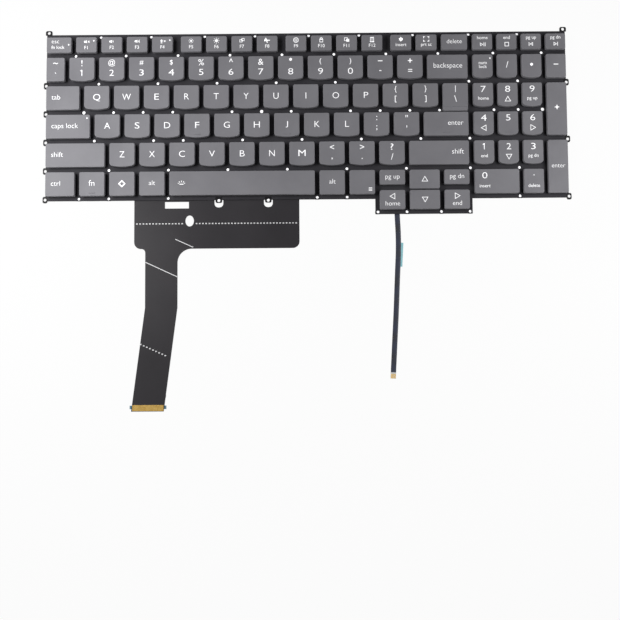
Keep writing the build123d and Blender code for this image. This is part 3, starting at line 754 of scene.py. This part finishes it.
def legend(name):
    """The lettering of one key as a drawing, lying at the key's own level."""
    low, high = keys[name]
    ink, marks = bmesh.new(), bmesh.new()
    x, y = (low.x + high.x) / 2, (low.y + high.y) / 2
    if name == "j":
        glyph(ink, marks, "J", x, y + LETTER_UP)
    elif name in letters:
        write(ink, name.upper(), x, y + LETTER_UP, LETTER_SIZE, by="capital")
    elif name in PAIRS:
        above_lip = LIP_D / 2 if name == "backslash" else 0
        for sign, up in zip(PAIRS[name], (PAIR_UP, PAIR_DOWN)):
            glyph(ink, marks, sign, x, y + up + above_lip + GLYPH_LIFT.get(sign, 0))
    elif name in LEFT_WORDS:
        write(ink, LEFT_WORDS[name], low.x + LEFT_GAP, y, WORD, "LEFT")
    elif name in RIGHT_WORDS:
        write(ink, RIGHT_WORDS[name], high.x - RIGHT_GAP, y + RIGHT_UP, WORD, "RIGHT")
    elif name in MIDDLE_WORDS:
        words, size = MIDDLE_WORDS[name]
        write(ink, words, x, y, size)
    elif name in PAD:
        column = keys["pad_9"] if name == "pad_zero" else (low, high)
        x = (column[0].x + column[1].x) / 2
        top, under = PAD[name]
        down = PAD_DOWN if name in curved else PAD_EDGE_DOWN
        glyph(ink, marks, top, x, y + PAD_UP)
        if under in SIGNS:
            draw_sign(marks, under, x, y + down - PAD_SIGN_DOWN)
        elif under:
            write(ink, under, x, y + down, SMALL_WORD)
    elif name in FUNCTION_WORDS:
        draw_sign(marks, name, x, y + SIGN_UP, SIGN_SCALE)
        by = "capital" if FUNCTION_WORDS[name].startswith("F") else "small"
        write(ink, FUNCTION_WORDS[name], x, y - WORD_DOWN, SMALL_WORD, by=by)
    elif name in OVER_PAD:
        write(ink, OVER_PAD[name], x, y + OVER_UP, SMALL_WORD)
        draw_sign(marks, name, x, y - WORD_DOWN, SIGN_SCALE)
    elif name in ARROWS:
        sign, under = ARROWS[name]
        draw_sign(marks, sign, x, y + (ARROW_UP if under else 0))
        if under:
            write(ink, under, x, y - ARROW_DOWN, ARROW_WORD)
    elif name == "esc":
        write(ink, "esc", low.x + ESC_GAP, y + SIGN_UP, ESC_WORD, "LEFT")
        write(ink, "fn lock", low.x + ESC_GAP, y - WORD_DOWN, SMALL_WORD, "LEFT")
    elif name == "pad_0":
        write(ink, "num", x, y + NUM_UP, SMALL_WORD)
        write(ink, "lock", x, y - LOCK_DOWN, SMALL_WORD)
    elif name == "system":
        draw_sign(marks, name, x, y)
    elif name == "menu":
        draw_sign(marks, name, high.x - MENU_IN, low.y + MENU_UP)
    elif name == "space":
        draw_sign(marks, "backlight", low.x + BACKLIGHT_IN, y + BACKLIGHT_UP)
    elif name == "pad_1":
        glyph(ink, marks, "/", x, y + LONE_UP)
    else:
        draw_sign(marks, {"pad_2": "star", "pad_minus": "minus", "pad_plus": "plus"}[name], x, y + LONE_UP)
    if name in LAMPS:
        dx, dy = LAMPS[name]
        draw_sign(marks, "lamp", high.x + dx, high.y + dy)
    if marks.faces:
        thicken(marks, INK_T)
    gather(ink, marks)
    bmesh.ops.translate(ink, vec=(0, 0, high.z - INK_SINK), verts=ink.verts)
    return ink


# %% [markdown]
# The ink of a travelling key goes down with its cap, so each of these keys has a legend piece of its own. The legends
# of a group lie still on their caps.

# %% Legends
for name in moving:
    make_piece(f"legend_{name}", legend(name), [legend_ink_and_glow], body=f"key_{name}")
for node, names in GROUPS.items():
    row = bmesh.new()
    for name in names:
        gather(row, legend(name))
    piece = make_piece(f"legends_of_{node}", row, [legend_ink_and_glow])
    print(piece.name, len(piece.data.polygons), "faces")

# %% [markdown]
# Under each cap a rubber dome stands between two crossed link frames. The dome is a profile turned about its axis.
# A link frame is a rectangle with rounded corners, inset to an open frame, thickened and tilted. A pin on each side
# joins the two frames where they cross. In the real keyboard the set flattens as its key goes down; here each set
# keeps its resting shape on the board.

# %% Dome and scissor
DOME_PROFILE = [(2.55, 0.0), (2.55, 0.18), (2.2, 0.3), (1.55, 1.7), (1.4, 2.2), (1.3, 2.6), (0.7, 2.62)]
DOME_STEPS = 12
LINK_L, LINK_T, LINK_BAR, LINK_R = 10.6, 0.5, 0.95, 0.7
OUTER_LINK_W, INNER_LINK_W = 11.0, 8.2
LINK_CLEARANCE = 0.05
LINK_FREE, LIP_FREE = 1.3, 0.4
PIN_R, PIN_TIP_R = 0.3, 0.24
switch_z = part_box("rubber_domes")[0].z / MM
ceiling_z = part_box("rubber_domes")[1].z / MM


def dome(x, y):
    """A rubber dome on the membrane."""
    bm = bmesh.new()
    points = [bm.verts.new((x + radius, y, switch_z + up)) for radius, up in DOME_PROFILE]
    lines = [bm.edges.new(pair) for pair in zip(points, points[1:])]
    bmesh.ops.spin(bm, geom=points + lines, cent=(x, y, switch_z), axis=(0, 0, 1), angle=2 * pi, steps=DOME_STEPS,
                   use_merge=True)
    bmesh.ops.remove_doubles(bm, verts=bm.verts, dist=0.001)
    bmesh.ops.holes_fill(bm, edges=[edge for edge in bm.edges if edge.is_boundary], sides=0)
    bmesh.ops.recalc_face_normals(bm, faces=bm.faces)
    return bm


def link_frame(x, y, width, length, turn):
    """One link of a scissor, tilted from the membrane to the keycap's ceiling."""
    bm = bmesh.new()
    bar(bm, 0, 0, width, length)
    bevel(bm, bm.verts[:], LINK_R, 2, "VERTICES")
    open_frame(bm, bm.faces[:][0], LINK_BAR)
    bmesh.ops.translate(bm, vec=(0, 0, -LINK_T / 2), verts=bm.verts)
    thicken(bm, LINK_T)
    rise = ceiling_z - switch_z - LINK_T - 2 * LINK_CLEARANCE
    tilt = Vector((length, 0)).angle_signed(Vector(((length**2 - rise**2) ** 0.5, rise))) * turn
    bmesh.ops.rotate(bm, matrix=Matrix.Rotation(-tilt, 3, "X"), verts=bm.verts)
    bmesh.ops.translate(bm, vec=(x, y, (switch_z + ceiling_z) / 2), verts=bm.verts)
    return bm


def pivot_pins(x, y):
    """The two pins that join a scissor's frames."""
    bm = bmesh.new()
    for side in (-1, 1):
        middle = side * (OUTER_LINK_W + INNER_LINK_W) / 4
        place = Matrix.Translation((x + middle, y, (switch_z + ceiling_z) / 2)) @ Matrix.Rotation(pi / 2, 4, "Y")
        bmesh.ops.create_cone(bm, cap_ends=True, segments=8, radius1=PIN_R, radius2=PIN_TIP_R,
                              depth=(OUTER_LINK_W - INNER_LINK_W) / 2, matrix=place)
    return bm


def mechanism(name):
    """Dome, link frames and pins of one key. The links take the second finish."""
    low, high = keys[name]
    x, y = (low.x + high.x) / 2, (low.y + high.y) / 2
    free = LIP_D + LIP_BACK + LIP_FREE if name == "backslash" else LINK_FREE
    length = min(LINK_L, high.y - low.y - 2 * free)
    bm = dome(x, y)
    soft = len(bm.faces)
    gather(bm, link_frame(x, y, OUTER_LINK_W, length, 1))
    gather(bm, link_frame(x, y, INNER_LINK_W, length, -1))
    gather(bm, pivot_pins(x, y))
    for face in bm.faces[:][soft:]:
        face.material_index = 1
    return bm


for name in moving:
    scissor = make_piece(f"scissor_{name}", mechanism(name), [dome_grey, link_black])
    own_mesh(scissor)
resting = bmesh.new()
for names in GROUPS.values():
    for name in names:
        gather(resting, mechanism(name))
scissors = make_piece("scissors_of_resting_keys", resting, [dome_grey, link_black])
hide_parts("rubber_domes", "scissor_outer_links", "scissor_inner_links")

# %% [markdown]
# Between the keys, rows of pin holes go through the web and the plate, and the white light guide shows in them; the
# guide's painted glow keeps these white dots bright in the shade of the plate. Each hole sits on the gap between two
# neighbouring keys. The outline of a sheet comes from its CAD node: the edges round its upper face are kept, circles
# are added, and one fill makes the face with all its holes.

# %% Pin holes
ROWS = {
    "function": function_names,
    "number": ["grave"] + digits + ["minus", "equals", "backspace"] + pad_names[0:4],
    "q": ["tab"] + letters[:10] + ["left_bracket", "right_bracket", "backslash"] + pad_names[4:8],
    "a": ["caps_lock"] + letters[10:19] + ["semicolon", "quote", "enter"] + pad_names[8:11],
    "z": ["left_shift"] + letters[19:] + ["comma", "period", "slash", "right_shift"] + pad_names[11:15],
    "bottom": ["left_ctrl", "fn", "system", "left_alt", "space", "right_alt", "menu"],
    "pad_bottom": ["pad_zero", "pad_point"],
    "arrows": ["arrow_left", "arrow_down", "arrow_right"],
}
HOLES_BELOW = {
    "function": (0.65, [0, 2, 4, 6, 8, 10, 12, 14, 16, 18]),
    "number": (0.45, [1, 3, 5, 7, 9, 11, 13, 15]),
    "q": (0.65, [0, 1, 2, 3, 5, 6, 7, 9, 10, 11, 12, 14, 15, 16]),
    "a": (0.55, [0, 2, 3, 5, 7, 9, 11, 12]),
    "z": (1.25, [0, 2, 4, 6, 8, 10, 11, 13]),
    "bottom": (1.1, [0, 1, 3, 4, 5]),
    "pad_bottom": (1.1, [0]),
    "arrows": (1.0, [0, 1]),
}
HOLE_R, LARGE_HOLE_R, HOLE_SIDES = 0.88, 1.05, 20
LARGE_HOLES = [("q", 0), ("q", 6), ("q", 16)]
WEB_WIDER = 0.3
EDGE_ROWS = ("bottom", "pad_bottom", "arrows")
REAR_UP, ARROW_SIDE = 1.45, 0.9
TALL_KEY = 16


def gap_middle(row, index):
    """The middle of the gap between two neighbouring keys of a row."""
    names = ROWS[row]
    return (keys[names[index]][1].x + keys[names[index + 1]][0].x) / 2


def row_bottom(row):
    """The level of a row's front edge."""
    return max(keys[name][0].y for name in ROWS[row] if keys[name][1].y - keys[name][0].y < TALL_KEY)


holes, edge_holes = [], []
for row, (down, gaps) in HOLES_BELOW.items():
    level = row_bottom(row) - down
    for gap in gaps:
        place = (gap_middle(row, gap), level, LARGE_HOLE_R if (row, gap) in LARGE_HOLES else HOLE_R)
        (edge_holes if row in EDGE_ROWS else holes).append(place)
function_top = keys["esc"][1].y
edge_holes += [(gap_middle("function", gap), function_top + REAR_UP, HOLE_R) for gap in range(1, 18, 2)]
arrow_level = row_bottom("arrows") - HOLES_BELOW["arrows"][0]
for x in (keys["arrow_left"][0].x - ARROW_SIDE, keys["arrow_right"][1].x + ARROW_SIDE):
    edge_holes.append((x, arrow_level, HOLE_R))
web_holes = [(x, y, radius + WEB_WIDER) for x, y, radius in holes] + edge_holes
holes += edge_holes
print("pin holes:", len(holes))

# %% [markdown]
# The web is the black film over the plate. Its holes are wider than those of the plate, so each white dot has a dark
# rim. The outer corners of the plate's ears are rounded, as a press leaves them.

# %% Sheets with holes
EAR_SIDES = (1.0, 4.5)
EAR_CORNER = 1.0


def on_ear(vert):
    """True at an ear's outer corner: a square corner between a long and a short side."""
    sides = sorted(edge.calc_length() for edge in vert.link_edges)
    runs = [edge.other_vert(vert).co - vert.co for edge in vert.link_edges]
    return EAR_SIDES[0] < sides[0] and sides[1] < EAR_SIDES[1] and abs(runs[0].dot(runs[1])) < 0.01


def pierced_sheet(node, round_holes, is_rounded=None, radius=0.0):
    """A CAD node's sheet with more round holes and some rounded corners, at the node's own levels."""
    low, high = (corner.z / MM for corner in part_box(node))
    bm = node_drawing(node)
    level = high - 0.001
    rim = {edge for edge in bm.edges if all(vert.co.z > level for vert in edge.verts)
           and any(abs(face.normal.z) < 0.5 for face in edge.link_faces)}
    bmesh.ops.delete(bm, geom=bm.faces[:], context="FACES_ONLY")
    bmesh.ops.delete(bm, geom=[edge for edge in bm.edges if edge not in rim], context="EDGES")
    if is_rounded:
        bevel(bm, [vert for vert in bm.verts if is_rounded(vert)], radius, 4, "VERTICES")
    for x, y, hole_radius in round_holes:
        bmesh.ops.create_circle(bm, segments=HOLE_SIDES, radius=hole_radius, matrix=Matrix.Translation((x, y, high)))
    bmesh.ops.triangle_fill(bm, use_beauty=True, edges=bm.edges[:], normal=(0, 0, 1))
    thicken(bm, low - high)
    return bm


web = make_piece("pierced_web", pierced_sheet("membrane", web_holes), [web_black])
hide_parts("membrane")
plate = make_piece("pierced_plate", pierced_sheet("base_plate", holes, on_ear, EAR_CORNER), [plate_black])
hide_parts("base_plate")
print(web.name, len(web.data.polygons), "faces;", plate.name, len(plate.data.polygons), "faces")

# %% [markdown]
# The light guide is a clear white sheet behind the plate. Below it, over the root of the tail, only a thin white
# diffuser film goes on to the front edge, so the lowest row of holes is white too. Both carry a painted glow, so they
# stay bright in the holes where the plate shades them. From behind the diffuser is covered by a film as dark as the
# back.

# %% Light guide
REAR_MARGIN, FRONT_MARGIN, TAB_MARGIN = 3.15, 2.4, 2.45
FILM_MARGIN = 0.05
DIFFUSER_Z, DIFFUSER_T, BACKING_Z, BACKING_T = 0.385, 0.05, 0.36, 0.02
set_finish("light_guide", guide_white_and_glow)
guide_low, guide_high = (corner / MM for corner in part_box("light_guide"))
plate_top = keys["esc"][1].y + REAR_MARGIN
plate_edge = keys["space"][0].y - FRONT_MARGIN
tab_edge = keys["arrow_down"][0].y - FRONT_MARGIN
tab_left, tab_right = keys["arrow_left"][0].x - TAB_MARGIN, keys["arrow_right"][1].x + TAB_MARGIN
film_top = guide_low.y - FILM_MARGIN


def front_film(z, thickness):
    """A film below the light guide, along the front edge and over the arrow keys' tab."""
    bm = bmesh.new()
    bottom, tab_bottom = plate_edge + FILM_MARGIN, tab_edge + 2 * FILM_MARGIN
    bar(bm, 0, (film_top + bottom) / 2, guide_high.x - guide_low.x, film_top - bottom, z=z)
    bar(bm, (tab_left + tab_right) / 2, (bottom + tab_bottom) / 2, tab_right - tab_left, bottom - tab_bottom, z=z)
    thicken(bm, thickness)
    return bm


# The diffuser takes the light guide's painted glow.
make_piece("white_diffuser", front_film(DIFFUSER_Z, DIFFUSER_T), [guide_white_and_glow])
make_piece("diffuser_backing", front_film(BACKING_Z, BACKING_T), [back_brown])
print("diffuser from", round(film_top, 2), "to", round(tab_edge, 2))

# %% [markdown]
# The back film is a dark warm grey sheet with bare steel rings where the plate's bosses come through, plain holes,
# and a pair of small vents behind each key in the middle of the board. Each ring, plain hole and vent is filled by a
# black disc of painted shade, which stands for the shade seen through the hole. Along the edges the bosses lie half
# off the plate, so their rings are cut by its edge, and four steel tabs are folded over it.

# %% Back film
BOSSED = {"number": (1, 3, 5, 11, 13, 15), "q": (2, 12), "a": (0, 3, 7, 11, 12)}
BOSSES = [(row, gap) for row, gaps in BOSSED.items() for gap in gaps]
BOSS_R, RING_R, RING_W, SHADE_DISC_R = 1.95, 1.87, 0.85, 1.05
PLAIN_R, PLAIN_SHADE_R = 1.3, 1.25
VENT_R, VENT_SHADE_R, VENT_SPLIT, VENT_UP = 0.75, 0.73, 8.6, 0.8
RING_Z, RING_T, RING_EDGE = 0.01, 0.13, 0.05
SHADE_DISC_Z, SHADE_DISC_T = 0.09, 0.05
VENTED = function_names[6:14] + digits[5:] + list("tyuiopghjklvbnm")
VENTED += [name for name in SIGN_KEYS if name not in ("right_bracket", "backslash")]


def hole_place(row, gap):
    """Where the pin hole of a gap is."""
    return gap_middle(row, gap), row_bottom(row) - HOLES_BELOW[row][0]


boss_places = [hole_place(*boss) for boss in BOSSES]
film_holes = [(x, y, BOSS_R) for x, y in boss_places] + [(*hole_place(*spot), PLAIN_R) for spot in LARGE_HOLES]
vents = []
for name in VENTED:
    middle = (keys[name][0] + keys[name][1]) / 2
    vents += [(middle.x + side * VENT_SPLIT / 2, middle.y + VENT_UP, VENT_R) for side in (-1, 1)]
film_holes += vents
film = make_piece("pierced_back_film", pierced_sheet("back_film", film_holes), [back_brown])
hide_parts("back_film")

# The black discs are painted shade in the bosses, plain holes and vents.
rings, shade_discs = bmesh.new(), bmesh.new()
for x, y in boss_places:
    ring(rings, x, y, RING_R, RING_W, HOLE_SIDES, z=RING_Z)
    disc(shade_discs, x, y, SHADE_DISC_R, HOLE_SIDES, z=SHADE_DISC_Z)
for spot in LARGE_HOLES:
    disc(shade_discs, *hole_place(*spot), PLAIN_SHADE_R, HOLE_SIDES, z=SHADE_DISC_Z)
for x, y, _ in vents:
    disc(shade_discs, x, y, VENT_SHADE_R, 12, z=SHADE_DISC_Z)
thicken(rings, RING_T)
soften(rings, RING_EDGE)
thicken(shade_discs, SHADE_DISC_T)
make_piece("boss_rings", rings, [ring_steel])
make_piece("boss_cores", shade_discs, [painted_shade_black])
print("back film holes:", len(film_holes))

# %% [markdown]
# The rings along the edges and their black discs of painted shade are drawn whole and then cut by a plane at the
# plate's edge. The folded tabs are plain bars beside them.

# %% Bosses along the edges
EDGE_T, EDGE_REACH = 0.02, 3
EDGE_RING, EDGE_SHADE_DISC = (1.85, 0.8), (1.03,)
TABS = [(83.9, 1), (-147.2, 1), (120.8, -1), (-136.8, -1)]
TAB_IN, TAB_SIZE = 0.75, (8.1, 1.4)


def cut_off(bm, level, side):
    """Remove what reaches over a level, upwards or downwards."""
    geom = bm.verts[:] + bm.edges[:] + bm.faces[:]
    bmesh.ops.bisect_plane(bm, geom=geom, plane_co=(0, level, 0), plane_no=(0, side, 0), clear_outer=True)


# The black half discs in the edge holes are painted shade as well.
edge_rings, edge_cores = bmesh.new(), bmesh.new()
for level, side in ((plate_top, 1), (plate_edge, -1), (tab_edge, -1)):
    for x, y, _ in edge_holes:
        if 0 < (level - y) * side < EDGE_REACH:
            for target, shape, sizes in ((edge_rings, ring, EDGE_RING), (edge_cores, disc, EDGE_SHADE_DISC)):
                part = bmesh.new()
                shape(part, x, y, *sizes, HOLE_SIDES, z=-EDGE_T)
                cut_off(part, level, side)
                gather(target, part)
for x, side in TABS:
    bar(edge_rings, x, (plate_top if side > 0 else plate_edge) - side * TAB_IN, *TAB_SIZE, z=-EDGE_T)
for drawing, name, material in ((edge_rings, "edge_rings", ring_steel), (edge_cores, "edge_cores", painted_shade_black)):
    thicken(drawing, EDGE_T)
    make_piece(name, drawing, [material])

# %% [markdown]
# The films that the CAD model already shapes keep their shape and only get a finish: the cover band, the stiffener
# and the paper liners. The tail is drawn again from its outline, with round ends to its two notches.

# %% Finishes of the films
set_finish("tail_cover_band", band_black)
set_finish("tail_stiffener", stiffener_blue)
set_finish("flap_liner", liner_tan)
set_finish("ribbon_liner", liner_tan)
NOTCH_END = plate_edge - 4.6
FLAP_END = plate_edge - 31.0
SHOULDER = (-104, -100)
NOTCH_R = 2.4


def on_tail_corner(vert):
    """True at the end of a notch and where the ribbon leaves the flap."""
    at_ribbon = abs(vert.co.y - FLAP_END) < 0.01 and SHOULDER[0] < vert.co.x < SHOULDER[1]
    return abs(vert.co.y - NOTCH_END) < 0.01 or at_ribbon


tail_drawing = pierced_sheet("keyboard_tail", [], on_tail_corner, NOTCH_R)
tail = make_piece("keyboard_tail_film", tail_drawing, [tail_film])
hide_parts("keyboard_tail")
print("tail:", len(tail.data.polygons), "faces")

# %% [markdown]
# The tail carries plain white print: a dotted line along the flap, slanting lines where it may be folded, and a
# stripe near its end. On the front its end has a comb of gold contacts, and on the back two windows show as faint
# outlines near the plate.

# %% Print on the tail
tail_low, tail_high = (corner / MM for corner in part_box("keyboard_tail"))
PRINT_T = 0.012
DOT_SIZE = (1.0, 0.75)


def line(bm, start, end, width, z):
    """A printed line between two points."""
    run = Vector(end) - Vector(start)
    middle = (Vector(start) + Vector(end)) / 2
    turn = Vector((1, 0)).angle_signed(run)
    bar(bm, middle.x, middle.y, run.length, width, -turn * 180 / pi, z)


def dots(bm, start, end, count, z):
    """A dotted line between two points."""
    for step in range(count):
        spot = Vector(start).lerp(Vector(end), (step + 0.5) / count)
        bar(bm, spot.x, spot.y, *DOT_SIZE, z=z)


DOT_LEVEL = plate_edge - 14.9
DOTTED = [((-5.8, DOT_LEVEL), (-71.5, DOT_LEVEL), 32), ((-78.6, DOT_LEVEL), (-109.6, DOT_LEVEL), 15),
          ((-89.2, -153.4), (-106.8, -145.4), 9)]
FOLD_LINES = [((-82.8, -103.0), (-103.0, -93.6)), ((-72.6, -84.2), (-84.0, -79.0))]
BACK_LINES = [((-88.2, -77.6), (-109.8, -67.4)), ((-86.2, -120.6), (-103.4, -122.6))]
LINE_W = 0.5
WINDOWS = [(-14.0, -6.0), (-28.4, -17.9)]
WINDOW_TOP, WINDOW_END = plate_edge - 0.4, plate_edge - 10.3
back_z, front_z = tail_low.z - PRINT_T, tail_high.z
tail_print = bmesh.new()
for z, lines in ((back_z, FOLD_LINES + BACK_LINES), (front_z, FOLD_LINES)):
    for start, end, count in DOTTED:
        dots(tail_print, start, end, count, z)
    for start, end in lines:
        line(tail_print, start, end, LINE_W, z)
thicken(tail_print, PRINT_T)
make_piece("tail_print", tail_print, [print_white])
windows = bmesh.new()
for left, right in WINDOWS:
    corners = [(left, WINDOW_TOP), (left, WINDOW_END), (right, WINDOW_END), (right, WINDOW_TOP)]
    for start, end in zip(corners, corners[1:]):
        line(windows, start, end, LINE_W / 2, back_z)
thicken(windows, PRINT_T)
make_piece("tail_window_outlines", windows, [back_brown])

# %% [markdown]
# The end of the ribbon has a comb of thin gold contacts on its front, one bar for each, and a white stripe across its
# back, which leans with the ribbon.

# %% Tail end
end_low, end_high = (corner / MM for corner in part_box("tail_stiffener"))
end_middle = (end_low.x + end_high.x) / 2
SLANT = 8.5 / 65.5
CONTACTS, CONTACT_PITCH, CONTACT_SIZE = 34, 0.58, (0.34, 3.8)
CONTACT_UP, CONTACT_T = 2.2, 0.02
RIBBON_W = 20.2
STRIPE_Y, STRIPE_D = -178.6, 2.0
comb = bmesh.new()
for step in range(CONTACTS):
    x = end_middle + (step - (CONTACTS - 1) / 2) * CONTACT_PITCH
    bar(comb, x, end_low.y + CONTACT_UP, *CONTACT_SIZE, z=tail_high.z)
thicken(comb, CONTACT_T)
comb = make_piece("tail_contacts", comb, [contact_gold])

stripe = bmesh.new()
bar(stripe, 0, STRIPE_Y, RIBBON_W, STRIPE_D, z=back_z)
for vert in stripe.verts:
    vert.co.x += end_middle + (vert.co.y - end_low.y) * SLANT
thicken(stripe, PRINT_T)
make_piece("ribbon_stripe", stripe, [label_white])
print("contacts:", CONTACTS)

# %% [markdown]
# Three blank white labels stick on the back, two on the film and one on the band.

# %% Labels
LABELS = [(136.2, -30.3, 36.6, 16.8), (102.2, -28.4, 31.4, 12.4), (93.4, -50.7, 8.4, 8.6)]
LABEL_T, LABEL_R = 0.04, 0.5
labels = bmesh.new()
for label in LABELS:
    bar(labels, *label, z=-LABEL_T)
bevel(labels, labels.verts[:], LABEL_R, 2, "VERTICES")
thicken(labels, LABEL_T)
make_piece("blank_labels", labels, [label_white])
